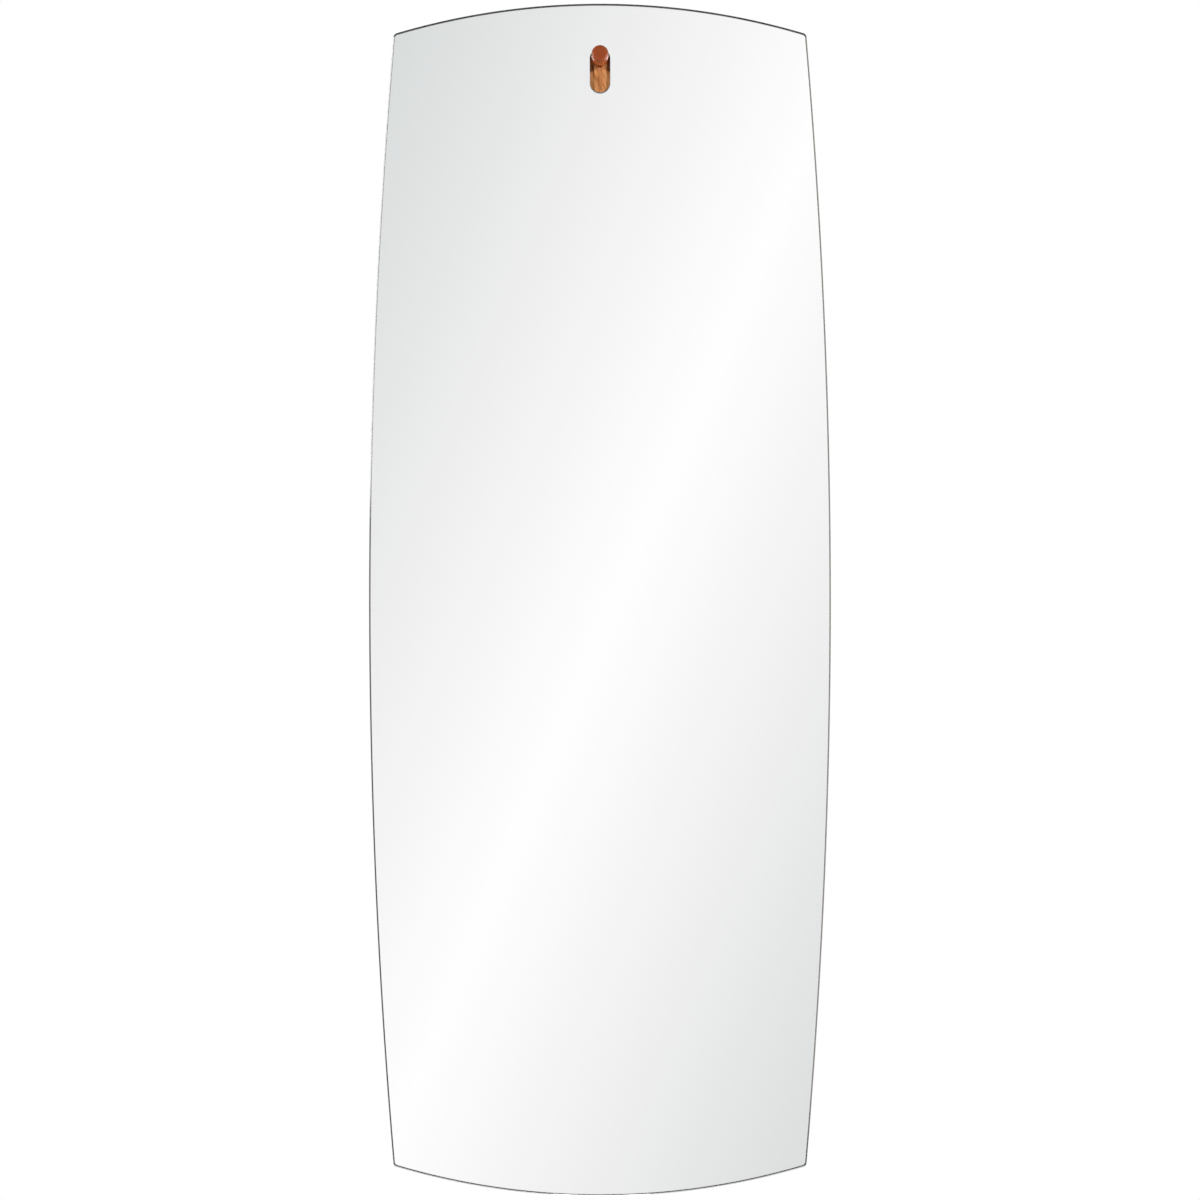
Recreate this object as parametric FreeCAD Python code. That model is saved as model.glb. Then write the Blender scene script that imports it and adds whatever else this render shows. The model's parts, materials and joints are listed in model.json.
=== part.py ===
"""Frameless barrel-shaped wall mirror that hangs by a slot in its glass on a turned wooden peg.

Millimetres. X runs to the viewer's right, Y into the wall and Z up. The origin lies on the wall,
midway between the two screw holes of the wooden wall plate, and the mirror faces -Y.
"""

import FreeCAD, Part

import math
import os

from FreeCAD import Vector

# Mirror outline
mirror_width = 610.0
mirror_height = 1575.0
side_bulge = 32.5  # how far a long side swells past the corners
end_rise = 40.0  # how far the top and bottom arcs rise past the corners
glass_corner_radius = 6.0

# Layers of the mirror, from the front to the wall
glass_thickness = 5.0
silver_thickness = 0.1
paint_thickness = 0.1
film_thickness = 0.2
tape_thickness = 1.0
panel_thickness = 12.0
bumper_thickness = 2.5
rim_arris = 1.5  # ground chamfer round the rim of the glass
slot_arris = 0.6  # ground chamfer round the slot

# Peg and the slot that hangs on it
peg_diameter = 22.0
peg_proud = 30.5  # how far the peg stands out of the glass
peg_chamfer = 2.6
peg_ease = 0.5  # softens the two edges of the peg's chamfer
peg_below_top = 71.0  # from the top of the mirror down to the peg's axis
slot_side_clearance = 2.0
slot_top_clearance = 0.2
lift_travel = 35.0  # how far the mirror lifts before the slot's foot is under the peg
lift_stop_clearance = 0.2
swing_limit_deg = 5.0

# Wall plate
plate_width = 56.0
plate_clearance = 0.3  # between the plate and the back of the mirror
plate_end_margin = 13.0  # from a screw hole's centre to the plate's end
plate_front_chamfer = 1.5
plate_back_chamfer = 0.6
screw_spacing = 84.0
screw_hole_diameter = 5.0
screw_head_diameter = 10.0
screw_land = 4.2  # wood between the peg's seat and the upper screw's head

# Joint between the peg and the wall plate
tenon_diameter = 14.0
tenon_clearance = 0.05
tenon_proud = 0.1
tenon_tip_chamfer = 0.6
counterbore_diameter = 20.0
counterbore_depth = 6.0
washer_diameter = 18.0
washer_thickness = 1.2
washer_hole_clearance = 0.3
peg_screw_diameter = 4.5
peg_screw_length = 30.0
peg_screw_head_diameter = 9.0
peg_screw_head_height = 2.8
peg_screw_tip = 5.0
peg_screw_clearance = 0.05
peg_screw_head_chamfer = 1.0
recess_length = 4.6
recess_width = 1.1
recess_depth = 1.6

# Back panel
panel_inset = 18.0
panel_corner_radius = 10.0
panel_chamfer = 2.0
window_clearance = 2.0

# Mounting tape
tape_count = 5
tape_width = 25.0
tape_margin = 22.0  # from a strip to the panel's rim or window

# Wall bumpers
bumper_diameter = 20.0
bumper_inset = 40.0  # from a bumper's centre to the panel's sides and ends
bumper_chamfer = 0.8

flatness = 1e-6  # how far an edge may lie from a plane and still be in it

# Places along Y, from the wall to the front
panel_back_y = -bumper_thickness
panel_front_y = panel_back_y - panel_thickness
film_back_y = panel_front_y - tape_thickness
paint_back_y = film_back_y - film_thickness
silver_back_y = paint_back_y - paint_thickness
glass_back_y = silver_back_y - silver_thickness
glass_front_y = glass_back_y - glass_thickness
plate_front_y = film_back_y + plate_clearance
peg_front_y = glass_front_y - peg_proud
tenon_end_y = tenon_proud - counterbore_depth
washer_back_y = tenon_end_y + washer_thickness
screw_head_y = washer_back_y + peg_screw_head_height
peg_screw_tip_y = washer_back_y - peg_screw_length

# Places along Z
peg_radius = peg_diameter / 2
upper_screw_z = screw_spacing / 2
peg_z = upper_screw_z - screw_head_diameter / 2 - screw_land - peg_radius
mirror_top_z = peg_z + peg_below_top
mirror_middle_z = mirror_top_z - mirror_height / 2
slot_top_z = peg_z + peg_radius + slot_top_clearance
slot_foot_z = peg_z - peg_radius - lift_travel - lift_stop_clearance
slot_radius = peg_radius + slot_side_clearance

# Wall plate: a board with half-round ends
plate_radius = plate_width / 2
plate_top_z = upper_screw_z + plate_end_margin
plate_foot_z = -plate_top_z

# Window in the panel: the plate's outline, widened by its swing and lengthened by the lift
plate_low_arm = peg_z - (plate_foot_z + plate_radius)
swing_reach = plate_low_arm * math.sin(math.radians(swing_limit_deg))
window_margin = swing_reach + window_clearance
window_radius = plate_radius + window_margin
window_top_z = plate_top_z + window_margin
window_foot_z = plate_foot_z - lift_travel - window_margin

# Circles of the barrel outline
corner_half_width = mirror_width / 2 - side_bulge
corner_half_height = mirror_height / 2 - end_rise
side_radius = (corner_half_height**2 + side_bulge**2) / (2 * side_bulge)
end_radius = (corner_half_width**2 + end_rise**2) / (2 * end_rise)


def at(x, y, z):
    return Vector(x, y, z)


def circle_crossing(side_centre_x, side_r, end_centre_z, end_r):
    """Upper right crossing of a circle centred on the X axis with one centred on the Z axis."""
    span = math.hypot(side_centre_x, end_centre_z)
    along = (side_r**2 - end_r**2 + span**2) / (2 * span)
    across = math.sqrt(side_r**2 - along**2)
    unit_x = -side_centre_x / span
    unit_z = end_centre_z / span
    x = side_centre_x + along * unit_x - across * unit_z
    z = along * unit_z + across * unit_x
    return x, z


def barrel_corner(inset, corner_radius):
    """The rounded corner's ends and middle in the upper right quarter, about the mirror's middle."""
    side_x = mirror_width / 2 - side_radius
    end_z = mirror_height / 2 - end_radius
    side_r = side_radius - inset
    end_r = end_radius - inset
    centre_x, centre_z = circle_crossing(side_x, side_r - corner_radius, end_z, end_r - corner_radius)
    side_share = side_r / (side_r - corner_radius)
    end_share = end_r / (end_r - corner_radius)
    on_side = (side_x + (centre_x - side_x) * side_share, centre_z * side_share)
    on_end = (centre_x * end_share, end_z + (centre_z - end_z) * end_share)
    out_x = (on_side[0] + on_end[0]) / 2 - centre_x
    out_z = (on_side[1] + on_end[1]) / 2 - centre_z
    reach = corner_radius / math.hypot(out_x, out_z)
    middle = (centre_x + out_x * reach, centre_z + out_z * reach)
    return on_side, middle, on_end


def barrel_wire(inset, corner_radius, y):
    """The mirror's outline moved inwards by inset, in the plane at y."""
    on_side, corner_middle, on_end = barrel_corner(inset, corner_radius)
    half_width = mirror_width / 2 - inset
    half_height = mirror_height / 2 - inset

    def place(point, sign_x, sign_z):
        return at(sign_x * point[0], y, mirror_middle_z + sign_z * point[1])

    edges = []
    for sign_x in (1, -1):
        side_ends = (place(on_side, sign_x, 1), place(on_side, sign_x, -1))
        side_middle = place((half_width, 0.0), sign_x, 1)
        edges.append(Part.Arc(side_ends[0], side_middle, side_ends[1]).toShape())
    for sign_z in (1, -1):
        end_ends = (place(on_end, -1, sign_z), place(on_end, 1, sign_z))
        end_middle = place((0.0, half_height), 1, sign_z)
        edges.append(Part.Arc(end_ends[0], end_middle, end_ends[1]).toShape())
    for sign_x in (1, -1):
        for sign_z in (1, -1):
            points = [place(point, sign_x, sign_z) for point in (on_side, corner_middle, on_end)]
            edges.append(Part.Arc(*points).toShape())
    return Part.Wire(Part.__sortEdges__(edges))


def stadium_wire(radius, foot_z, top_z, y):
    """An upright outline with half-round ends, centred on x = 0, in the plane at y."""
    low = foot_z + radius
    high = top_z - radius
    return Part.Wire(
        [
            Part.LineSegment(at(radius, y, low), at(radius, y, high)).toShape(),
            Part.Arc(at(radius, y, high), at(0, y, top_z), at(-radius, y, high)).toShape(),
            Part.LineSegment(at(-radius, y, high), at(-radius, y, low)).toShape(),
            Part.Arc(at(-radius, y, low), at(0, y, foot_z), at(radius, y, low)).toShape(),
        ]
    )


def slab(wire, depth):
    """A flat wire drawn out by depth along Y."""
    return Part.Face(wire).extrude(at(0, depth, 0))


def edges_on_plane(shape, y):
    """The edges of a shape that lie wholly in the plane at y."""
    found = []
    for edge in shape.Edges:
        box = edge.BoundBox
        if max(abs(box.YMin - y), abs(box.YMax - y)) < flatness:
            found.append(edge)
    return found


def turned(profile, z):
    """A solid turned about the line along Y at height z, from (radius, y) points."""
    points = [at(radius, y, z) for radius, y in profile]
    outline = Part.makePolygon(points + points[:1])
    return Part.Face(outline).revolve(at(0, 0, z), at(0, 1, 0), 360)


def drill(radius, y_back, y_front, z):
    return Part.makeCylinder(radius, y_back - y_front, at(0, y_front, z), at(0, 1, 0))


def slot_cutter(growth, back_y, thickness):
    """The hanging slot, widened all round by growth, as a solid through a layer of the mirror."""
    wire = stadium_wire(slot_radius + growth, slot_foot_z - growth, slot_top_z + growth, back_y)
    return slab(wire, -thickness)


def mirror_glass():
    pane = slab(barrel_wire(0.0, glass_corner_radius, glass_back_y), -glass_thickness)
    faces = (glass_front_y, glass_back_y)
    pane = pane.makeChamfer(rim_arris, [edge for y in faces for edge in edges_on_plane(pane, y)])
    pane = pane.cut(slot_cutter(0.0, glass_back_y, glass_thickness))
    slot_edges = []
    for edge in [edge for y in faces for edge in edges_on_plane(pane, y)]:
        if edge.BoundBox.XMax < slot_radius + flatness and edge.BoundBox.XMin > -slot_radius - flatness:
            slot_edges.append(edge)
    return pane.makeChamfer(slot_arris, slot_edges)


def coating(back_y, thickness):
    """A layer on the flat back of the glass, inside the arrises of its rim and slot."""
    layer = slab(barrel_wire(rim_arris, glass_corner_radius - rim_arris, back_y), -thickness)
    return layer.cut(slot_cutter(slot_arris, back_y, thickness))


def back_panel():
    board = slab(barrel_wire(panel_inset, panel_corner_radius, panel_back_y), -panel_thickness)
    board = board.makeChamfer(panel_chamfer, edges_on_plane(board, panel_back_y))
    window = stadium_wire(window_radius, window_foot_z, window_top_z, panel_back_y)
    return board.cut(slab(window, -panel_thickness))


def panel_corner():
    """Half width and half height of the panel at its corners, about the mirror's middle."""
    on_side, _, on_end = barrel_corner(panel_inset, panel_corner_radius)
    return on_end[0], on_side[1]


def mounting_tape(index):
    """One upright strip of double-sided tape, cut short under the window."""
    half_width, half_height = panel_corner()
    outer_x = half_width - tape_margin - tape_width / 2
    x = -outer_x + index * 2 * outer_x / (tape_count - 1)
    foot_z = mirror_middle_z - half_height + tape_margin
    top_z = mirror_middle_z + half_height - tape_margin
    if abs(x) < window_radius + tape_margin + tape_width / 2:
        top_z = window_foot_z - tape_margin
    corner = at(x - tape_width / 2, film_back_y, foot_z)
    return Part.makeBox(tape_width, tape_thickness, top_z - foot_z, corner)


def wall_bumper(sign_x, sign_z):
    half_width, half_height = panel_corner()
    x = sign_x * (half_width - bumper_inset)
    z = mirror_middle_z + sign_z * (half_height - bumper_inset)
    disc = Part.makeCylinder(bumper_diameter / 2, bumper_thickness, at(x, panel_back_y, z), at(0, 1, 0))
    return disc.makeChamfer(bumper_chamfer, edges_on_plane(disc, 0.0))


def wall_plate():
    board = slab(stadium_wire(plate_radius, plate_foot_z, plate_top_z, 0.0), plate_front_y)
    board = board.makeChamfer(plate_front_chamfer, edges_on_plane(board, plate_front_y))
    board = board.makeChamfer(plate_back_chamfer, edges_on_plane(board, 0.0))
    board = board.cut(drill(tenon_diameter / 2 + tenon_clearance, 0.0, plate_front_y, peg_z))
    board = board.cut(drill(counterbore_diameter / 2, 0.0, -counterbore_depth, peg_z))
    hole_radius = screw_hole_diameter / 2
    head_radius = screw_head_diameter / 2
    sink_y = plate_front_y + head_radius - hole_radius
    for z in (upper_screw_z, -upper_screw_z):
        board = board.cut(drill(hole_radius, 0.0, plate_front_y, z))
        sink = [(0, plate_front_y), (head_radius, plate_front_y), (hole_radius, sink_y), (0, sink_y)]
        board = board.cut(turned(sink, z))
    return board


def peg():
    tenon_radius = tenon_diameter / 2
    body = turned(
        [
            (0, peg_front_y),
            (peg_radius - peg_chamfer - peg_ease, peg_front_y),
            (peg_radius - peg_chamfer + peg_ease / 2, peg_front_y + peg_ease / 2),
            (peg_radius - peg_ease / 2, peg_front_y + peg_chamfer - peg_ease / 2),
            (peg_radius, peg_front_y + peg_chamfer + peg_ease),
            (peg_radius, plate_front_y),
            (tenon_radius, plate_front_y),
            (tenon_radius, tenon_end_y - tenon_tip_chamfer),
            (tenon_radius - tenon_tip_chamfer, tenon_end_y),
            (0, tenon_end_y),
        ],
        peg_z,
    )
    pilot_radius = peg_screw_diameter / 2 + peg_screw_clearance
    pilot = [
        (0, tenon_end_y),
        (pilot_radius, tenon_end_y),
        (pilot_radius, peg_screw_tip_y + peg_screw_tip),
        (0, peg_screw_tip_y - peg_screw_clearance),
    ]
    return body.cut(turned(pilot, peg_z))


def peg_washer():
    disc = drill(washer_diameter / 2, washer_back_y, tenon_end_y, peg_z)
    hole_radius = peg_screw_diameter / 2 + washer_hole_clearance
    return disc.cut(drill(hole_radius, washer_back_y, tenon_end_y, peg_z))


def peg_screw():
    radius = peg_screw_diameter / 2
    head_radius = peg_screw_head_diameter / 2
    shank = turned(
        [
            (0, peg_screw_tip_y),
            (radius, peg_screw_tip_y + peg_screw_tip),
            (radius, washer_back_y),
            (0, washer_back_y),
        ],
        peg_z,
    )
    head = drill(head_radius, screw_head_y, washer_back_y, peg_z)
    head = head.makeChamfer(peg_screw_head_chamfer, edges_on_plane(head, screw_head_y))
    screw = shank.fuse(head).removeSplitter()
    for size_x, size_z in ((recess_length, recess_width), (recess_width, recess_length)):
        corner = at(-size_x / 2, screw_head_y - recess_depth, peg_z - size_z / 2)
        screw = screw.cut(Part.makeBox(size_x, recess_depth, size_z, corner))
    return screw


def build():
    nodes = {
        "mirror_glass": mirror_glass(),
        "silver_layer": coating(silver_back_y, silver_thickness),
        "backing_paint": coating(paint_back_y, paint_thickness),
        "safety_film": coating(film_back_y, film_thickness),
        "back_panel": back_panel(),
        "wall_plate": wall_plate(),
        "peg": peg(),
        "peg_washer": peg_washer(),
        "peg_screw": peg_screw(),
    }
    for index in range(tape_count):
        nodes[f"mounting_tape_{index + 1}"] = mounting_tape(index)
    for height, sign_z in (("top", 1), ("bottom", -1)):
        for side, sign_x in (("left", -1), ("right", 1)):
            nodes[f"wall_bumper_{height}_{side}"] = wall_bumper(sign_x, sign_z)
    return nodes


os.makedirs("parts", exist_ok=True)
for node_name, shape in build().items():
    shape.exportStep(f"parts/{node_name}.step")
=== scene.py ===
"""Looks of a frameless wall mirror that hangs by a slot in its glass on a turned wooden peg.

Metres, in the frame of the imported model: X to the viewer's right, Y into the wall and Z up.
"""

import json
import math

import bmesh
import bpy
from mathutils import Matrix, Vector


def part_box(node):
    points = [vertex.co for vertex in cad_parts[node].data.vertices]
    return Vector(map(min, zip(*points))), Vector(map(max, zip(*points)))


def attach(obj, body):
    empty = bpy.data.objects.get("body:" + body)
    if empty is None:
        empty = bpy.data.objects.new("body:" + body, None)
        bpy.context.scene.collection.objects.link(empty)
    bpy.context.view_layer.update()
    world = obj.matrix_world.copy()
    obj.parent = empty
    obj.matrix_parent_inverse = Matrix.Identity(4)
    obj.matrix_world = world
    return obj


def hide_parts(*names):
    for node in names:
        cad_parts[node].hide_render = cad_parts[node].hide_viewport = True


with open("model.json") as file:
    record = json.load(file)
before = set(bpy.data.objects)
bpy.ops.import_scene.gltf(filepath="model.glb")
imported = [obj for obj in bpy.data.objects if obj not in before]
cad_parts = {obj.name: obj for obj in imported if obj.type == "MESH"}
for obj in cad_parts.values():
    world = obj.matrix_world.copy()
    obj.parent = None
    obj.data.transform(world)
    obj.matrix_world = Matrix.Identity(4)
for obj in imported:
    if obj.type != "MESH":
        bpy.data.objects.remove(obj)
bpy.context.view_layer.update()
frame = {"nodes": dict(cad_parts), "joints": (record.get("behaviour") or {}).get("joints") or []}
nodes = frame["nodes"]

MM = 0.001
white = (1.0, 1.0, 1.0)
face_gap = 0.02 * MM  # faces that would coincide lie this far apart
sharp_angle = math.radians(25)  # edges past this angle stay sharp

# Barrel outline
side_bulge = 32.5 * MM
end_rise = 40.0 * MM
glass_corner_radius = 6.0 * MM
rim_arris = 1.5 * MM
slot_arris = 0.6 * MM
side_steps = 96
end_steps = 72
corner_steps = 10
slot_steps = 64

# Glass and the film behind it
glass_ior = 1.52
scrim_scale = 105.0  # threads of the film's scrim about 3 mm apart

# Back panel
panel_inset = 18.0 * MM
panel_corner_radius = 10.0 * MM
panel_chamfer = 2.0 * MM
window_ease = 0.6 * MM
window_clearance = 2.0 * MM

# Fibres, strands, roller tracks and scuffs of the back panel
fibre_cell = (0.5 * MM, 0.5 * MM, 2.2 * MM)
fibre_lean = 0.4
strand_cell = (3 * MM, 3 * MM, 26 * MM)
strand_lean = -0.12
track_cell = (32 * MM, 32 * MM, 700 * MM)
scuff_cell = (1.4 * MM, 1.4 * MM, 42 * MM)
scuff_lean = 0.9

# Hanging slot
slot_side_clearance = 2.0 * MM
slot_top_clearance = 0.2 * MM

# Peg
peg_chamfer = 2.6 * MM
peg_round = 0.9 * MM
tenon_radius = 7.0 * MM
tenon_chamfer = 0.6 * MM
pilot_radius = 2.3 * MM
peg_segments = 128
round_steps = 8

# Growth rings of the peg, round a heart to the right of its axis and below it
heart_right = 46 * MM
heart_drop = 12 * MM
ring_scale = 120.0  # rings about 2.6 mm apart
ring_stretch = 0.12  # pace of change along the peg, as a share of that across it

# Wall plate
grain_lean = math.radians(-13)
sweep_cell = (5 * MM, 5 * MM, 34 * MM)
# sweep_origin is set so that the sweep makes the plate's front lighter low on the left
sweep_origin = (3.5 * MM, 0.0, 79.0 * MM)
streak_cell = (1.9 * MM, 1.9 * MM, 15 * MM)
streak_origin = (3.9 * MM, 0.0, -21.5 * MM)
pore_cell = (0.4 * MM, 0.4 * MM, 9 * MM)
# A small dark spot on the wall plate's front, low in the hanging slot
dark_spot_cell = (1.5 * MM, 9 * MM, 2.4 * MM)
dark_spot_lean = math.radians(-50)
dark_spot_x = 1.4 * MM
dark_spot_z = -19.5 * MM

# Camera: straight on at the mirror's middle, far enough to show as little of the peg's side as the photo
camera_distance = 3.93
photo_px = 1200  # height of the photo
mirror_px = 1193  # and of the mirror in it
sensor_width = 36.0

# Floor
floor_drop = 0.28
floor_radius = 9.0
floor_segments = 96
floor_grey = (0.75, 0.75, 0.75, 1.0)
floor_glow = 0.14  # lifts the lit floor to white for the eye
shadow_reach = 1.3  # the floor shows shadows this far round the mirror
shadow_core = 0.6 * shadow_reach  # and fades to plain white from here on
lamp_lift = 10 * MM  # lamps on the floor lie this far above it

# World: strength as light on the object, and the dim ceiling
fill_strength = 0.03
ceiling_shade = (0.12, 0.12, 0.12)
ceiling_start = math.radians(15)
ceiling_end = math.radians(60)

# Sheen in the silver: bands by angle, in radians, that slant by the tangent below
sheen_slant = 0.42
sheen_offset = 0.0056
sheen_half_period = 0.15
sheen_grey = (0.867, 0.867, 0.867)
sheen_grey_stop = 0.45
sheen_shade = (0.684, 0.71, 0.706)

# Soft windows to the left and right, each fading in and out between two angles in radians
window_inner = (0.03, 0.16)
window_outer = (0.3, 0.45)
left_window = 2.5
right_window = 3.0
lacquer_bounces = 2.0  # shines on the way of a ray that meets the lacquer and then the silver

glass_low, glass_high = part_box("mirror_glass")
panel_low, panel_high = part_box("back_panel")
plate_low, plate_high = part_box("wall_plate")
peg_low, peg_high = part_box("peg")
peg_radius = (peg_high.x - peg_low.x) / 2
peg_z = (peg_low.z + peg_high.z) / 2
mirror_width = glass_high.x - glass_low.x
mirror_height = glass_high.z - glass_low.z
mirror_middle_z = (glass_low.z + glass_high.z) / 2
floor_z = glass_low.z - floor_drop
joints = {joint["name"]: joint for joint in frame["joints"]}
lift_travel = joints["mirror_lift"]["range_m"][1]
swing_limit = math.radians(joints["mirror_swing"]["range_deg"][1])


# Outlines, as lists of (x, z) points


def arc_points(centre, radius, start, end, steps):
    """Points along an arc, angles in radians, without the last one."""
    points = []
    for step in range(steps):
        angle = start + (end - start) * step / steps
        points.append((centre[0] + radius * math.cos(angle), centre[1] + radius * math.sin(angle)))
    return points


def circle_crossing(side_centre_x, side_r, end_centre_z, end_r):
    """Upper right crossing of a circle centred on the X axis with one centred on the Z axis."""
    span = math.hypot(side_centre_x, end_centre_z)
    along = (side_r**2 - end_r**2 + span**2) / (2 * span)
    across = math.sqrt(side_r**2 - along**2)
    unit_x = -side_centre_x / span
    unit_z = end_centre_z / span
    return side_centre_x + along * unit_x - across * unit_z, along * unit_z + across * unit_x


def barrel_loop(inset, corner_radius=glass_corner_radius):
    """The mirror's outline moved inwards, with corners of corner_radius where the inset is none."""
    corner_x = mirror_width / 2 - side_bulge
    corner_z = mirror_height / 2 - end_rise
    side_radius = (corner_z**2 + side_bulge**2) / (2 * side_bulge)
    end_radius = (corner_x**2 + end_rise**2) / (2 * end_rise)
    side_x = mirror_width / 2 - side_radius
    end_z = mirror_height / 2 - end_radius
    x, z = circle_crossing(side_x, side_radius - corner_radius, end_z, end_radius - corner_radius)
    lean = math.atan2(z, x - side_x)
    reach = math.atan2(x, z - end_z)
    quarter = math.pi / 2
    side = side_radius - inset
    end = end_radius - inset
    corner = corner_radius - inset
    arcs = [
        ((side_x, 0), side, -lean, lean, side_steps),
        ((x, z), corner, lean, quarter - reach, corner_steps),
        ((0, end_z), end, quarter - reach, quarter + reach, end_steps),
        ((-x, z), corner, quarter + reach, 2 * quarter - lean, corner_steps),
        ((-side_x, 0), side, 2 * quarter - lean, 2 * quarter + lean, side_steps),
        ((-x, -z), corner, 2 * quarter + lean, 3 * quarter - reach, corner_steps),
        ((0, -end_z), end, 3 * quarter - reach, 3 * quarter + reach, end_steps),
        ((x, -z), corner, 3 * quarter + reach, 4 * quarter - lean, corner_steps),
    ]
    loop = [point for arc in arcs for point in arc_points(*arc)]
    return [(px, mirror_middle_z + pz) for px, pz in loop]


def stadium_loop(radius, foot_z, top_z):
    """An upright outline with half-round ends, centred on x = 0."""
    upper = arc_points((0, top_z - radius), radius, 0, math.pi, slot_steps)
    upper.append((-radius, top_z - radius))
    lower = arc_points((0, foot_z + radius), radius, math.pi, 2 * math.pi, slot_steps)
    lower.append((radius, foot_z + radius))
    return upper + lower


def slot_loop(growth=0.0):
    """The hanging slot's outline: the peg's width and lift with their clearances."""
    radius = peg_radius + slot_side_clearance + growth
    foot = peg_z - peg_radius - lift_travel - slot_top_clearance - growth
    return stadium_loop(radius, foot, peg_z + peg_radius + slot_top_clearance + growth)


def window_loop(growth=0.0):
    """The wall plate's outline, widened by its swing and lengthened by the lift."""
    low_arm = peg_z - (plate_low.z + plate_high.x)
    margin = low_arm * math.sin(swing_limit) + window_clearance + growth
    return stadium_loop(plate_high.x + margin, plate_low.z - lift_travel - margin, plate_high.z + margin)


# Meshes


def finish_mesh(name, bm):
    """Turn a bmesh into an object, smooth but for its sharp edges."""
    bmesh.ops.recalc_face_normals(bm, faces=bm.faces)
    mesh = bpy.data.meshes.new(name)
    bm.to_mesh(mesh)
    bm.free()
    mesh.polygons.foreach_set("use_smooth", [True] * len(mesh.polygons))
    mesh.set_sharp_from_angle(angle=sharp_angle)
    piece = bpy.data.objects.new(name, mesh)
    bpy.context.scene.collection.objects.link(piece)
    return piece


def add_loop(bm, points, y):
    """A closed ring of vertices and edges in the plane at y."""
    verts = [bm.verts.new((x, y, z)) for x, z in points]
    edges = [bm.edges.new((verts[i - 1], verts[i])) for i in range(len(verts))]
    return verts, edges


def add_wall(bm, ring, next_ring, material_index):
    """A band of faces between two rings of vertices."""
    for i in range(len(ring)):
        face = bm.faces.new((ring[i - 1], ring[i], next_ring[i], next_ring[i - 1]))
        face.material_index = material_index


def sheet_with_hole(name, sections, wall_indices=(0, 0)):
    """A flat sheet built from sections, front to back: outline, hole, and the y of each of the two."""
    bm = bmesh.new()
    rings = [(add_loop(bm, outline, ys[0]), add_loop(bm, hole, ys[1])) for outline, hole, ys in sections]
    for rim, next_rim in zip(rings, rings[1:]):
        for (ring, _), (next_ring, _), index in zip(rim, next_rim, wall_indices):
            add_wall(bm, ring, next_ring, index)
    for (_, outer_edges), (_, inner_edges) in (rings[0], rings[-1]):
        bmesh.ops.triangle_fill(bm, use_beauty=True, use_dissolve=False, edges=outer_edges + inner_edges)
    return finish_mesh(name, bm)


def lathe(name, profile, centre_x, centre_z, segments):
    """A solid turned about a line along Y from (radius, y) points that start and end on the axis."""
    bm = bmesh.new()
    rings = []
    for radius, y in profile:
        if radius == 0:
            rings.append([bm.verts.new((centre_x, y, centre_z))])
            continue
        angles = [2 * math.pi * i / segments for i in range(segments)]
        spots = [(centre_x + radius * math.cos(a), y, centre_z + radius * math.sin(a)) for a in angles]
        rings.append([bm.verts.new(spot) for spot in spots])
    for ring, next_ring in zip(rings, rings[1:]):
        for i in range(segments):
            corners = [ring[i - 1], ring[i]] if len(ring) > 1 else [ring[0]]
            corners += [next_ring[i], next_ring[i - 1]] if len(next_ring) > 1 else [next_ring[0]]
            bm.faces.new(corners)
    return finish_mesh(name, bm)


def rounded(before, corner, after, radius):
    """Points that round the corner of a profile with an arc of the given radius."""
    to_before = (Vector(before) - Vector(corner)).normalized()
    to_after = (Vector(after) - Vector(corner)).normalized()
    half = to_before.angle(to_after) / 2
    centre = Vector(corner) + (to_before + to_after).normalized() * radius / math.sin(half)
    start = Vector(corner) + to_before * radius / math.tan(half) - centre
    end = Vector(corner) + to_after * radius / math.tan(half) - centre
    points = []
    for step in range(round_steps + 1):
        spoke = start.lerp(end, step / round_steps).normalized() * radius
        points.append(tuple(centre + spoke))
    return points


# Shader nodes

mix_colour_inputs = (6, 7)  # a mixing node has sockets for other kinds of value before these
mix_colour_output = 2


def new_material(name):
    """A material, its node tree and its shader."""
    material = bpy.data.materials.new(name)
    material.use_nodes = True
    tree = material.node_tree
    return material, tree, tree.nodes["Principled BSDF"]


def set_inputs(tree, node, inputs):
    """Give a node's inputs their values, or the sockets that drive them."""
    for key, value in inputs.items():
        if isinstance(value, bpy.types.NodeSocket):
            tree.links.new(value, node.inputs[key])
        else:
            node.inputs[key].default_value = value


def add_node(tree, kind, inputs=None, **settings):
    """A node with its settings and inputs."""
    node = tree.nodes.new(kind)
    for key, value in settings.items():
        setattr(node, key, value)
    set_inputs(tree, node, inputs or {})
    return node


def object_space(tree, scale, location=(0, 0, 0)):
    """Object coordinates, stretched and moved."""
    coordinates = add_node(tree, "ShaderNodeTexCoord").outputs["Object"]
    inputs = {"Vector": coordinates, "Location": location, "Scale": scale}
    return add_node(tree, "ShaderNodeMapping", inputs).outputs["Vector"]


def cubic_cells(tree, per_metre):
    """Object coordinates in cubic cells, so many to a metre."""
    return object_space(tree, (per_metre, per_metre, per_metre))


def leaning_space(tree, cell, lean=0.0, origin=(0, 0, 0)):
    """Object coordinates in cells of a given size, leaning in the XZ plane about an origin."""
    coordinates = add_node(tree, "ShaderNodeTexCoord").outputs["Object"]
    inputs = {"Vector": coordinates, "Location": origin, "Rotation": (0, lean, 0), "Scale": cell}
    return add_node(tree, "ShaderNodeMapping", inputs, vector_type="TEXTURE").outputs["Vector"]


def noise(tree, vector, detail=4.0, roughness=0.5, distortion=0.0):
    """Cloudy noise with about one lump to a cell of the vector's space."""
    inputs = {
        "Vector": vector,
        "Scale": 1.0,
        "Detail": detail,
        "Roughness": roughness,
        "Distortion": distortion,
    }
    return add_node(tree, "ShaderNodeTexNoise", inputs).outputs["Fac"]


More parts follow.
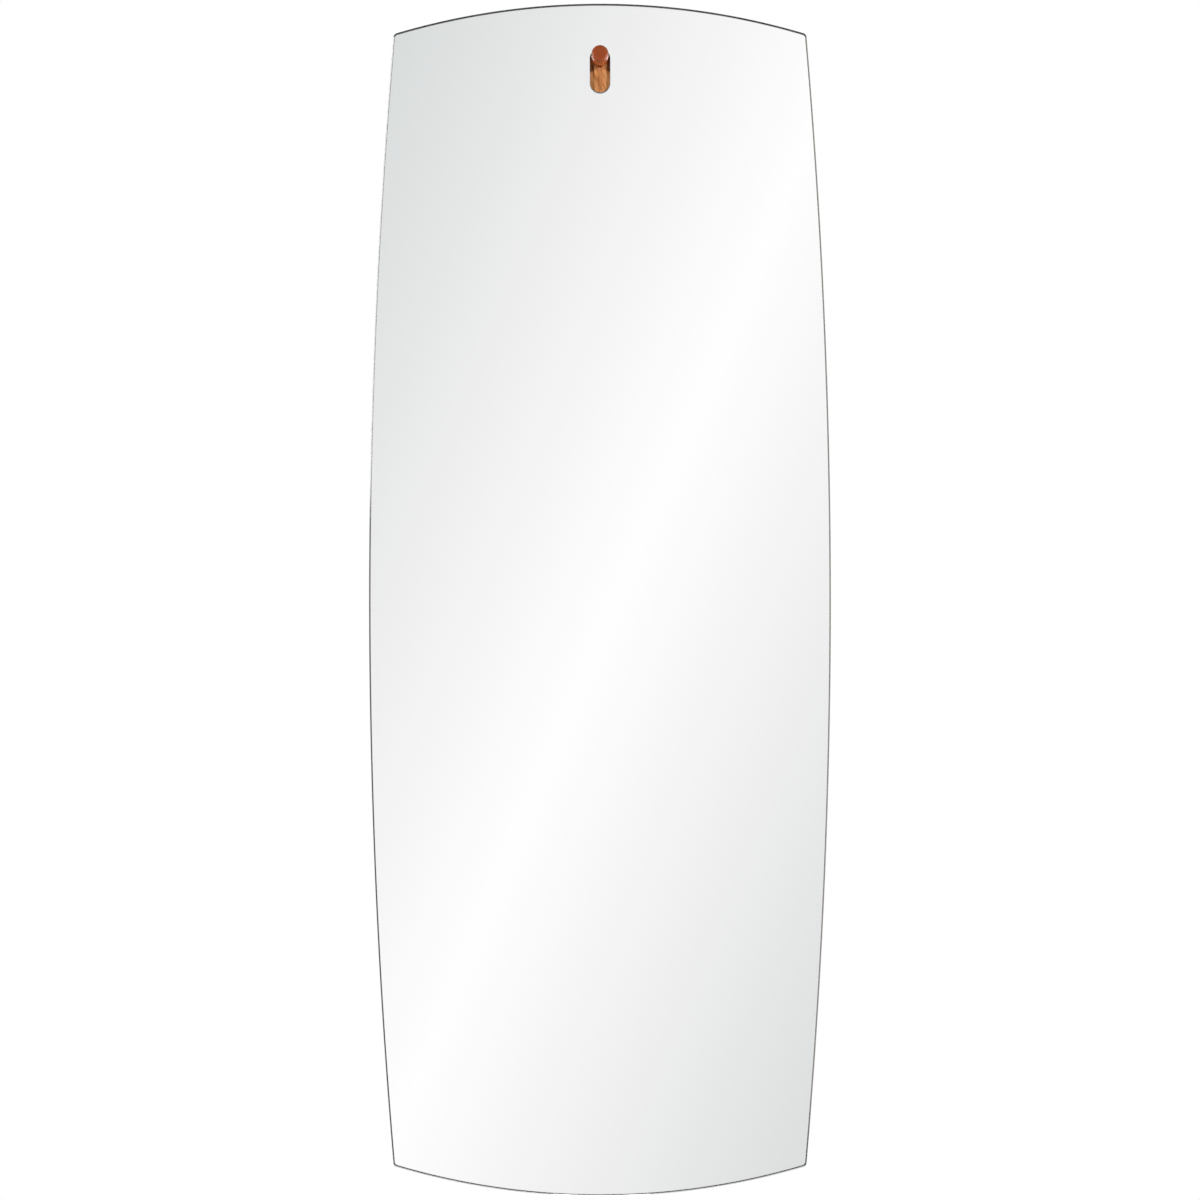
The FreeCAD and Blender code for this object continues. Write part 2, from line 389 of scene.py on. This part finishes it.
def crystals(tree, per_metre):
    """Outputs of a pattern of irregular cells, so many to a metre."""
    inputs = {"Vector": cubic_cells(tree, per_metre), "Scale": 1.0}
    return add_node(tree, "ShaderNodeTexVoronoi", inputs).outputs


def ramp(tree, factor, stops):
    """A colour ramp with (position, colour) stops."""
    node = add_node(tree, "ShaderNodeValToRGB", {"Fac": factor})
    elements = node.color_ramp.elements
    while len(elements) < len(stops):
        elements.new(0.5)
    for element, (position, colour) in zip(elements, stops):
        element.position = position
        element.color = (*colour, 1.0)
    return node.outputs["Color"]


def math_node(tree, operation, first, second=0.0):
    """The result of an operation on one or two numbers."""
    return add_node(tree, "ShaderNodeMath", {0: first, 1: second}, operation=operation).outputs["Value"]


def spread(tree, factor, low, high):
    """A 0 to 1 factor brought to a range."""
    node = add_node(tree, "ShaderNodeMapRange", {"Value": factor, "To Min": low, "To Max": high})
    return node.outputs["Result"]


def mask(tree, value, start, end):
    """0 below start, 1 past end and a smooth rise between them."""
    inputs = {"Value": value, "From Min": start, "From Max": end}
    node = add_node(tree, "ShaderNodeMapRange", inputs, interpolation_type="SMOOTHSTEP")
    return node.outputs["Result"]


def mix_colour(tree, factor, first, second, blend="MIX"):
    """Two colours, or the sockets that give them, mixed by a factor."""
    node = add_node(tree, "ShaderNodeMix", {"Factor": factor}, data_type="RGBA", blend_type=blend)
    for index, value in zip(mix_colour_inputs, (first, second)):
        colour = value if isinstance(value, bpy.types.NodeSocket) else (*value, 1.0)
        set_inputs(tree, node, {index: colour})
    return node.outputs[mix_colour_output]


def bump(tree, shader, height, strength, depth):
    """Let a shader's surface rise and fall with a height."""
    node = add_node(tree, "ShaderNodeBump", {"Height": height, "Strength": strength, "Distance": depth})
    tree.links.new(node.outputs["Normal"], shader.inputs["Normal"])


# Materials


def glass_material():
    """Clear glass, in front of the silver."""
    material, tree, shader = new_material("clear_glass")
    look = {"Base Color": (*white, 1.0), "Roughness": 0.0, "IOR": glass_ior, "Transmission Weight": 1.0}
    set_inputs(tree, shader, look)
    return material


def polished_edge_material():
    """Ground and polished rim, dark in the depth of the glass."""
    material, tree, shader = new_material("polished_edge")
    cloud = noise(tree, cubic_cells(tree, per_metre=40))
    grind = noise(tree, cubic_cells(tree, per_metre=900), detail=2.0)
    colour = ramp(tree, cloud, [(0.3, (0.055, 0.056, 0.055)), (0.7, (0.095, 0.096, 0.094))])
    roughness = spread(tree, grind, 0.08, 0.2)
    set_inputs(tree, shader, {"Base Color": colour, "Roughness": roughness, "IOR": glass_ior})
    bump(tree, shader, grind, strength=0.05, depth=0.1 * MM)
    return material


def ground_edge_material():
    """Rim of the slot, ground and left matt, pale with a green cast."""
    material, tree, shader = new_material("ground_edge")
    grind = noise(tree, cubic_cells(tree, per_metre=1400), detail=3.0)
    colour = ramp(tree, grind, [(0.3, (0.17, 0.195, 0.195)), (0.7, (0.27, 0.295, 0.295))])
    roughness = spread(tree, grind, 0.45, 0.65)
    set_inputs(tree, shader, {"Base Color": colour, "Roughness": roughness, "Specular IOR Level": 0.12})
    bump(tree, shader, grind, strength=0.2, depth=0.1 * MM)
    return material


def silver_material():
    """Silver that reflects nearly all light."""
    material, tree, shader = new_material("silver")
    silver_white = (0.997, 0.997, 0.997, 1.0)
    set_inputs(tree, shader, {"Base Color": silver_white, "Metallic": 1.0, "Roughness": 0.0})
    return material


def paint_material():
    """Grey sealing paint, rolled on."""
    material, tree, shader = new_material("backing_paint")
    roll = noise(tree, object_space(tree, scale=(120, 120, 30)))
    colour = ramp(tree, roll, [(0.3, (0.1, 0.11, 0.115)), (0.7, (0.14, 0.15, 0.155))])
    set_inputs(tree, shader, {"Base Color": colour, "Roughness": 0.55})
    bump(tree, shader, roll, strength=0.2, depth=0.2 * MM)
    return material


def scrim_threads(tree, direction):
    """Threads of the film's scrim, one after the other along a direction."""
    inputs = {"Vector": object_space(tree, scale=(1, 1, 1)), "Scale": scrim_scale}
    return add_node(tree, "ShaderNodeTexWave", inputs, bands_direction=direction).outputs["Fac"]


def film_material():
    """Milky safety film with a woven scrim."""
    material, tree, shader = new_material("safety_film")
    film_grey = (0.42, 0.44, 0.45)
    thread_grey = (0.58, 0.6, 0.6)
    cloud_grey = (0.5, 0.53, 0.55)
    weave = math_node(tree, "MAXIMUM", scrim_threads(tree, "X"), scrim_threads(tree, "Z"))
    woven = mix_colour(tree, weave, film_grey, thread_grey)
    cloud = spread(tree, noise(tree, cubic_cells(tree, per_metre=9)), 0.0, 0.3)
    colour = mix_colour(tree, cloud, woven, cloud_grey)
    set_inputs(tree, shader, {"Base Color": colour, "Roughness": 0.42})
    bump(tree, shader, weave, strength=0.35, depth=0.2 * MM)
    return material


def board_material():
    """Fibreboard rolled black: fibres and strands under upright roller tracks, with pale scuffs."""
    material, tree, shader = new_material("black_board")
    fibre_stops = [(0.3, (0.01, 0.01, 0.01)), (0.58, (0.026, 0.025, 0.024)), (0.8, (0.075, 0.069, 0.062))]
    strand_brown = (0.08, 0.073, 0.065)
    roller_black = (0.014, 0.014, 0.0145)
    scuff_brown = (0.15, 0.137, 0.12)
    fibre = noise(tree, leaning_space(tree, fibre_cell, fibre_lean), detail=5.0, roughness=0.65)
    strands = noise(tree, leaning_space(tree, strand_cell, strand_lean), detail=5.0, distortion=0.8)
    tracks = noise(tree, leaning_space(tree, track_cell), detail=5.0, roughness=0.6)
    scuffs = noise(tree, leaning_space(tree, scuff_cell, scuff_lean), roughness=0.7)
    pale_strands = spread(tree, mask(tree, strands, 0.44, 0.68), 0.0, 0.45)
    stranded = mix_colour(tree, pale_strands, ramp(tree, fibre, fibre_stops), strand_brown)
    thick_paint = mask(tree, tracks, 0.4, 0.62)
    rolled = mix_colour(tree, spread(tree, thick_paint, 0.0, 0.75), stranded, roller_black)
    worn = spread(tree, mask(tree, scuffs, 0.66, 0.78), 0.0, 0.6)
    look = {
        "Base Color": mix_colour(tree, worn, rolled, scuff_brown),
        "Roughness": spread(tree, thick_paint, 0.62, 0.36),
        "Specular IOR Level": 0.25,
    }
    set_inputs(tree, shader, look)
    bump(tree, shader, math_node(tree, "ADD", fibre, strands), strength=0.35, depth=0.2 * MM)
    return material


def growth_rings(tree):
    """Rings about the heart of the tree that the peg was cut from."""
    heart = (-heart_right, 0.0, heart_drop - peg_z)
    inputs = {
        "Vector": object_space(tree, (1.0, ring_stretch, 1.0), location=heart),
        "Scale": ring_scale,
        "Distortion": 1.8,
        "Detail": 2.0,
        "Detail Scale": 0.9,
        "Detail Roughness": 0.5,
    }
    settings = {"wave_type": "RINGS", "rings_direction": "Y", "wave_profile": "SAW"}
    return add_node(tree, "ShaderNodeTexWave", inputs, **settings).outputs["Fac"]


def peg_wood_material():
    """Red-brown hardwood under a satin lacquer, its grain along the peg."""
    material, tree, shader = new_material("peg_wood")
    ring_stops = [(0.0, (0.34, 0.068, 0.016)), (0.75, (0.28, 0.05, 0.011)), (1.0, (0.2, 0.034, 0.008))]
    warm_red = (0.38, 0.085, 0.022)
    pores = noise(tree, object_space(tree, scale=(1500, 60, 1500)), detail=3.0, roughness=0.6)
    shade = noise(tree, object_space(tree, scale=(130, 14, 130)))
    ringed = ramp(tree, growth_rings(tree), ring_stops)
    warm = mix_colour(tree, spread(tree, shade, 0.0, 0.7), ringed, warm_red)
    dark_pores = ramp(tree, pores, [(0.3, (0.45, 0.4, 0.38)), (0.46, white)])
    look = {
        "Base Color": mix_colour(tree, 0.8, warm, dark_pores, "MULTIPLY"),
        "Roughness": spread(tree, shade, 0.3, 0.42),
        "Specular IOR Level": 0.0,
        "Coat Weight": 1.0,
        "Coat IOR": 1.3,
        "Coat Roughness": 0.3,
    }
    set_inputs(tree, shader, look)
    bump(tree, shader, pores, strength=0.06, depth=0.2 * MM)
    return material


def small_dark_spot(tree):
    """A soft flattened spot on the front of the wall plate."""
    space = leaning_space(tree, dark_spot_cell, dark_spot_lean, (dark_spot_x, plate_low.y, dark_spot_z))
    node = add_node(tree, "ShaderNodeTexGradient", {"Vector": space}, gradient_type="QUADRATIC_SPHERE")
    return node.outputs["Fac"]


def plate_wood_material():
    """Orange-brown hardwood with dark streaks along its leaning grain and a small dark spot, oiled."""
    material, tree, shader = new_material("plate_wood")
    sweep_stops = [
        (0.3, (0.37, 0.127, 0.043)),
        (0.44, (0.7, 0.288, 0.106)),
        (0.6, (0.92, 0.435, 0.172)),
        (0.75, (0.58, 0.218, 0.075)),
    ]
    # colour of the small dark spot low on the plate's front
    dark_spot_brown = (0.06, 0.05, 0.045)
    sweep = noise(tree, leaning_space(tree, sweep_cell, grain_lean, sweep_origin), distortion=0.6)
    streak_space = leaning_space(tree, streak_cell, grain_lean, streak_origin)
    streak = noise(tree, streak_space, roughness=0.6, distortion=0.3)
    pores = noise(tree, leaning_space(tree, pore_cell, grain_lean), detail=2.0)
    dark_streaks = ramp(tree, streak, [(0.36, (0.44, 0.36, 0.3)), (0.52, white)])
    dark_pores = ramp(tree, pores, [(0.3, (0.6, 0.52, 0.46)), (0.46, white)])
    streaked = mix_colour(tree, 0.8, ramp(tree, sweep, sweep_stops), dark_streaks, "MULTIPLY")
    pored = mix_colour(tree, 0.6, streaked, dark_pores, "MULTIPLY")
    look = {
        "Base Color": mix_colour(tree, small_dark_spot(tree), pored, dark_spot_brown),
        "Roughness": spread(tree, streak, 0.32, 0.5),
        "Specular IOR Level": 0.08,
    }
    set_inputs(tree, shader, look)
    bump(tree, shader, streak, strength=0.12, depth=0.3 * MM)
    return material


def steel_material():
    """Zinc-plated steel with a crystalline grey cloud."""
    material, tree, shader = new_material("zinc_steel")
    spangle = crystals(tree, per_metre=900)["Color"]
    tone = add_node(tree, "ShaderNodeSeparateColor", {"Color": spangle}).outputs["Red"]
    colour = ramp(tree, tone, [(0.0, (0.32, 0.325, 0.335)), (1.0, (0.44, 0.44, 0.445))])
    roughness = spread(tree, tone, 0.32, 0.46)
    set_inputs(tree, shader, {"Base Color": colour, "Roughness": roughness, "Metallic": 1.0})
    return material


def foam_material():
    """White closed-cell foam tape."""
    material, tree, shader = new_material("foam_tape")
    cells = crystals(tree, per_metre=2500)["Distance"]
    colour = ramp(tree, cells, [(0.0, (0.84, 0.84, 0.82)), (0.8, (0.62, 0.62, 0.6))])
    set_inputs(tree, shader, {"Base Color": colour, "Roughness": 0.85})
    bump(tree, shader, cells, strength=0.3, depth=0.1 * MM)
    return material


def rubber_material():
    """Grey bumper rubber, dusty."""
    material, tree, shader = new_material("grey_rubber")
    grain = noise(tree, cubic_cells(tree, per_metre=1800), detail=2.0)
    dust = noise(tree, cubic_cells(tree, per_metre=160))
    colour = ramp(tree, dust, [(0.35, (0.15, 0.15, 0.15)), (0.75, (0.24, 0.238, 0.232))])
    set_inputs(tree, shader, {"Base Color": colour, "Roughness": spread(tree, grain, 0.6, 0.8)})
    bump(tree, shader, grain, strength=0.2, depth=0.1 * MM)
    return material


# Pieces of the mirror


def dress(piece, *materials):
    """Give a new piece its materials, in the order of its faces' material indices."""
    for material in materials:
        piece.data.materials.append(material)


def repaint(node, material):
    """Put one material in every slot of a node of the frame."""
    for index in range(len(node.data.materials)):
        node.data.materials[index] = material


def stand_for(piece, node, body):
    """The piece moves with a body and takes the place of a node, which is hidden."""
    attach(piece, body)
    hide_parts(node)


def glass_pane():
    """The pane with its polished rim and its matt slot."""
    flush = (barrel_loop(0.0), slot_loop())
    eased = (barrel_loop(rim_arris), slot_loop(slot_arris))
    back_y = glass_high.y + face_gap
    sections = [
        (*eased, (glass_low.y, glass_low.y)),
        (*flush, (glass_low.y + rim_arris, glass_low.y + slot_arris)),
        (*flush, (back_y - rim_arris, back_y - slot_arris)),
        (*eased, (back_y, back_y)),
    ]
    pane = sheet_with_hole("glass_pane", sections, wall_indices=(1, 2))
    dress(pane, glass_material(), polished_edge_material(), ground_edge_material())
    stand_for(pane, "mirror_glass", "mirror")


def coat(name, node, material):
    """A thin layer on the back of the glass, inside its arris."""
    low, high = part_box(node)
    outline = (barrel_loop(rim_arris), slot_loop(slot_arris))
    layer = sheet_with_hole(name, [(*outline, (y, y)) for y in (low.y, high.y)])
    dress(layer, material)
    stand_for(layer, node, "mirror")


def board():
    """The back panel, with its window round the wall plate."""
    base_radius = panel_inset + panel_corner_radius
    outline = barrel_loop(panel_inset, base_radius)
    eased = barrel_loop(panel_inset + panel_chamfer, base_radius)
    back = panel_high.y
    sections = [
        (outline, window_loop(), (panel_low.y, panel_low.y)),
        (outline, window_loop(), (back - panel_chamfer, back - window_ease)),
        (eased, window_loop(window_ease), (back, back)),
    ]
    panel = sheet_with_hole("backing_board", sections)
    dress(panel, board_material())
    stand_for(panel, "back_panel", "mirror")


def turned_peg():
    """The peg: a chamfered nose, a shoulder on the wall plate and a tenon with a pilot bore."""
    front = peg_low.y
    shoulder = plate_low.y
    end = peg_high.y
    nose_inner = (peg_radius - peg_chamfer, front)
    nose_outer = (peg_radius, front + peg_chamfer)
    pilot_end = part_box("peg_screw")[0].y
    profile = [(0, front)]
    profile += rounded((0, front), nose_inner, nose_outer, peg_round)
    profile += rounded(nose_inner, nose_outer, (peg_radius, shoulder), peg_round)
    profile += [
        (peg_radius, shoulder),
        (tenon_radius, shoulder),
        (tenon_radius, end - tenon_chamfer),
        (tenon_radius - tenon_chamfer, end),
        (pilot_radius, end),
        (pilot_radius, pilot_end + pilot_radius),
        (0, pilot_end - face_gap),
    ]
    peg = lathe("turned_peg", profile, 0.0, peg_z, peg_segments)
    dress(peg, peg_wood_material())
    stand_for(peg, "peg", "hanging_peg")


def repaint_solids():
    """New materials for the nodes that keep their own solids."""
    repaint(nodes["wall_plate"], plate_wood_material())
    steel = steel_material()
    foam = foam_material()
    rubber = rubber_material()
    for name, node in nodes.items():
        if name in ("peg_screw", "peg_washer"):
            repaint(node, steel)
        elif name.startswith("mounting_tape"):
            repaint(node, foam)
        elif name.startswith("wall_bumper"):
            repaint(node, rubber)


# Floor, world, light and camera


def seen_or_shining(tree, path):
    """1 for what the eye sees, straight or in something that shines, and 0 for light on a surface."""
    return math_node(tree, "MAXIMUM", path.outputs["Is Camera Ray"], path.outputs["Is Glossy Ray"])


def floor_material():
    """Pale, white to the eye where no shadow falls on it, and plain white further off."""
    material, tree, shader = new_material("pale_floor")
    seen = seen_or_shining(tree, add_node(tree, "ShaderNodeLightPath"))
    look = {
        "Base Color": floor_grey,
        "Roughness": 0.9,
        "Specular IOR Level": 0.0,
        "Emission Color": (*white, 1.0),
        "Emission Strength": spread(tree, seen, 0.0, floor_glow),
    }
    set_inputs(tree, shader, look)
    spot = object_space(tree, scale=(1, 1, 1))
    reach = add_node(tree, "ShaderNodeVectorMath", {0: spot}, operation="LENGTH")
    afar = mask(tree, reach.outputs["Value"], shadow_core, shadow_reach)
    plain = add_node(tree, "ShaderNodeEmission", {"Strength": spread(tree, seen, fill_strength, 1.0)})
    surfaces = {"Fac": afar, 1: shader.outputs["BSDF"], 2: plain.outputs["Emission"]}
    mixed = add_node(tree, "ShaderNodeMixShader", surfaces)
    tree.links.new(mixed.outputs["Shader"], tree.nodes["Material Output"].inputs["Surface"])
    return material


def floor():
    """A round floor below the mirror, which the glass doesn't show."""
    bm = bmesh.new()
    bmesh.ops.create_circle(bm, cap_ends=True, segments=floor_segments, radius=floor_radius)
    ground = finish_mesh("floor", bm)
    ground.location = (0, 0, floor_z)
    ground.visible_transmission = False
    dress(ground, floor_material())


def view_angles(tree):
    """A direction's turn to the right of straight out from the wall, and its rise, in radians."""
    coordinates = add_node(tree, "ShaderNodeTexCoord").outputs["Generated"]
    direction = add_node(tree, "ShaderNodeSeparateXYZ", {0: coordinates})
    forward = math_node(tree, "MULTIPLY", direction.outputs["Y"], -1.0)
    turn = math_node(tree, "ARCTAN2", direction.outputs["X"], forward)
    rise = math_node(tree, "ARCSINE", direction.outputs["Z"])
    return turn, rise


def diagonal_sheen(tree, turn, rise):
    """Slanting bands that swing from white to a cool grey and back."""
    slanted = math_node(tree, "SUBTRACT", turn, math_node(tree, "MULTIPLY", rise, sheen_slant))
    across = math_node(tree, "ABSOLUTE", math_node(tree, "SUBTRACT", slanted, sheen_offset))
    ridge = math_node(tree, "PINGPONG", across, sheen_half_period)
    fall = math_node(tree, "DIVIDE", ridge, sheen_half_period)
    return ramp(tree, fall, [(0.0, white), (sheen_grey_stop, sheen_grey), (1.0, sheen_shade)])


def window_glow(tree, turn, path):
    """Two soft windows that show only in the peg's lacquer, by way of the mirror."""
    aside = math_node(tree, "ABSOLUTE", turn)
    panes = math_node(tree, "SUBTRACT", mask(tree, aside, *window_inner), mask(tree, aside, *window_outer))
    on_right = math_node(tree, "GREATER_THAN", turn, 0.0)
    windows = math_node(tree, "MULTIPLY", panes, spread(tree, on_right, left_window, right_window))
    in_lacquer = math_node(tree, "COMPARE", path.outputs["Glossy Depth"], lacquer_bounces)
    by_mirror = math_node(tree, "MULTIPLY", in_lacquer, path.outputs["Is Transmission Ray"])
    return math_node(tree, "MULTIPLY", windows, by_mirror)


def studio_world():
    """White all round, with a dim ceiling in what shines and a diagonal sheen behind the glass."""
    world = bpy.data.worlds.new("studio")
    bpy.context.scene.world = world
    world.use_nodes = True
    tree = world.node_tree
    tree.nodes.clear()
    path = add_node(tree, "ShaderNodeLightPath")
    through_glass = path.outputs["Is Transmission Ray"]
    turn, rise = view_angles(tree)
    ceiling = mask(tree, rise, ceiling_start, ceiling_end)
    overhead = math_node(tree, "MULTIPLY", ceiling, path.outputs["Is Glossy Ray"])
    open_white = mix_colour(tree, overhead, white, ceiling_shade)
    colour = mix_colour(tree, through_glass, open_white, diagonal_sheen(tree, turn, rise))
    seen = math_node(tree, "MAXIMUM", seen_or_shining(tree, path), through_glass)
    plain = spread(tree, seen, fill_strength, 1.0)
    strength = math_node(tree, "ADD", plain, window_glow(tree, turn, path))
    background = add_node(tree, "ShaderNodeBackground", {"Color": colour, "Strength": strength})
    output = add_node(tree, "ShaderNodeOutputWorld")
    tree.links.new(background.outputs["Background"], output.inputs["Surface"])


def softbox(name, place, target, size, power, colour=white, shines=True):
    """A rectangular lamp that looks at a target. The mirror never shows it, gloss only if it shines."""
    data = bpy.data.lights.new(name, "AREA")
    data.shape = "RECTANGLE"
    data.size, data.size_y = size
    data.energy = power
    data.color = colour
    lamp = bpy.data.objects.new(name, data)
    lamp.location = place
    lamp.rotation_euler = (Vector(target) - Vector(place)).to_track_quat("-Z", "Y").to_euler()
    lamp.visible_camera = False
    lamp.visible_glossy = shines
    lamp.visible_transmission = False
    bpy.context.scene.collection.objects.link(lamp)
    return lamp


def side_lamp(name, place, size, power, colour=white):
    """A lamp beside the mirror that looks straight across it."""
    _, y, z = place
    softbox(name, place, (0, y, z), size, power, colour)


def low_lamp(name, y, lift, size, power):
    """A lamp just above the floor that looks straight up."""
    softbox(name, (0, y, floor_z + lift), (0, y, glass_low.z), size, power)


def lamps():
    """Two lamps in front, two behind, two strips on each side and three on the floor."""
    middle = (0, glass_low.y, mirror_middle_z)
    peg_spot = (0, glass_low.y, peg_z)
    peg_front = (0, peg_low.y, peg_z)
    beam_place = (0, -0.19, floor_z + lamp_lift)
    beam_spread = math.radians(24)
    warm_white = (1.0, 0.87, 0.74)
    softbox("key", place=(2.5, -2.98, 1.29), target=peg_spot, size=(0.45, 0.45), power=88, shines=False)
    softbox("fill", place=(-2.75, -2.66, 1.49), target=peg_spot, size=(0.45, 0.45), power=87, shines=False)
    side_lamp("side_right", place=(1.6, -0.22, -0.6), size=(0.35, 2.0), power=20)
    side_lamp("side_left", place=(-1.6, -0.22, -0.15), size=(0.35, 1.0), power=7.5)
    softbox("back_right", place=(2.3, 2.6, 1.0), target=middle, size=(2.0, 2.0), power=80)
    softbox("back_left", place=(-2.5, 2.3, 0.2), target=middle, size=(2.0, 2.0), power=45)
    side_lamp("left_strip", place=(-1.6, 0.08, 0.0), size=(0.25, 1.0), power=9)
    side_lamp("right_strip", place=(1.6, 0.08, -0.6), size=(0.25, 2.2), power=4.8, colour=warm_white)
    low_beam = softbox("low_beam", beam_place, peg_front, size=(0.3, 0.12), power=0.32, shines=False)
    low_beam.data.spread = beam_spread
    low_lamp("low_strip", y=0.05, lift=lamp_lift, size=(0.9, 0.14), power=1.6)
    low_lamp("low_middle", y=-0.03, lift=2 * lamp_lift, size=(0.16, 0.24), power=2.8)


def camera():
    """A camera whose frame holds the mirror as the photo's does."""
    data = bpy.data.cameras.new("camera")
    data.sensor_width = sensor_width
    frame_height = mirror_height * photo_px / mirror_px
    data.lens = sensor_width * camera_distance / frame_height
    eye = bpy.data.objects.new("camera", data)
    eye.location = (0, glass_low.y - camera_distance, mirror_middle_z)
    eye.rotation_euler = (math.pi / 2, 0, 0)
    bpy.context.scene.collection.objects.link(eye)
    bpy.context.scene.camera = eye


# The mirror
glass_pane()
coat("silver_coat", "silver_layer", silver_material())
coat("paint_coat", "backing_paint", paint_material())
coat("film_sheet", "safety_film", film_material())
board()
turned_peg()
repaint_solids()

# The studio
bpy.context.scene.view_settings.view_transform = "Standard"
studio_world()
floor()
camera()
lamps()
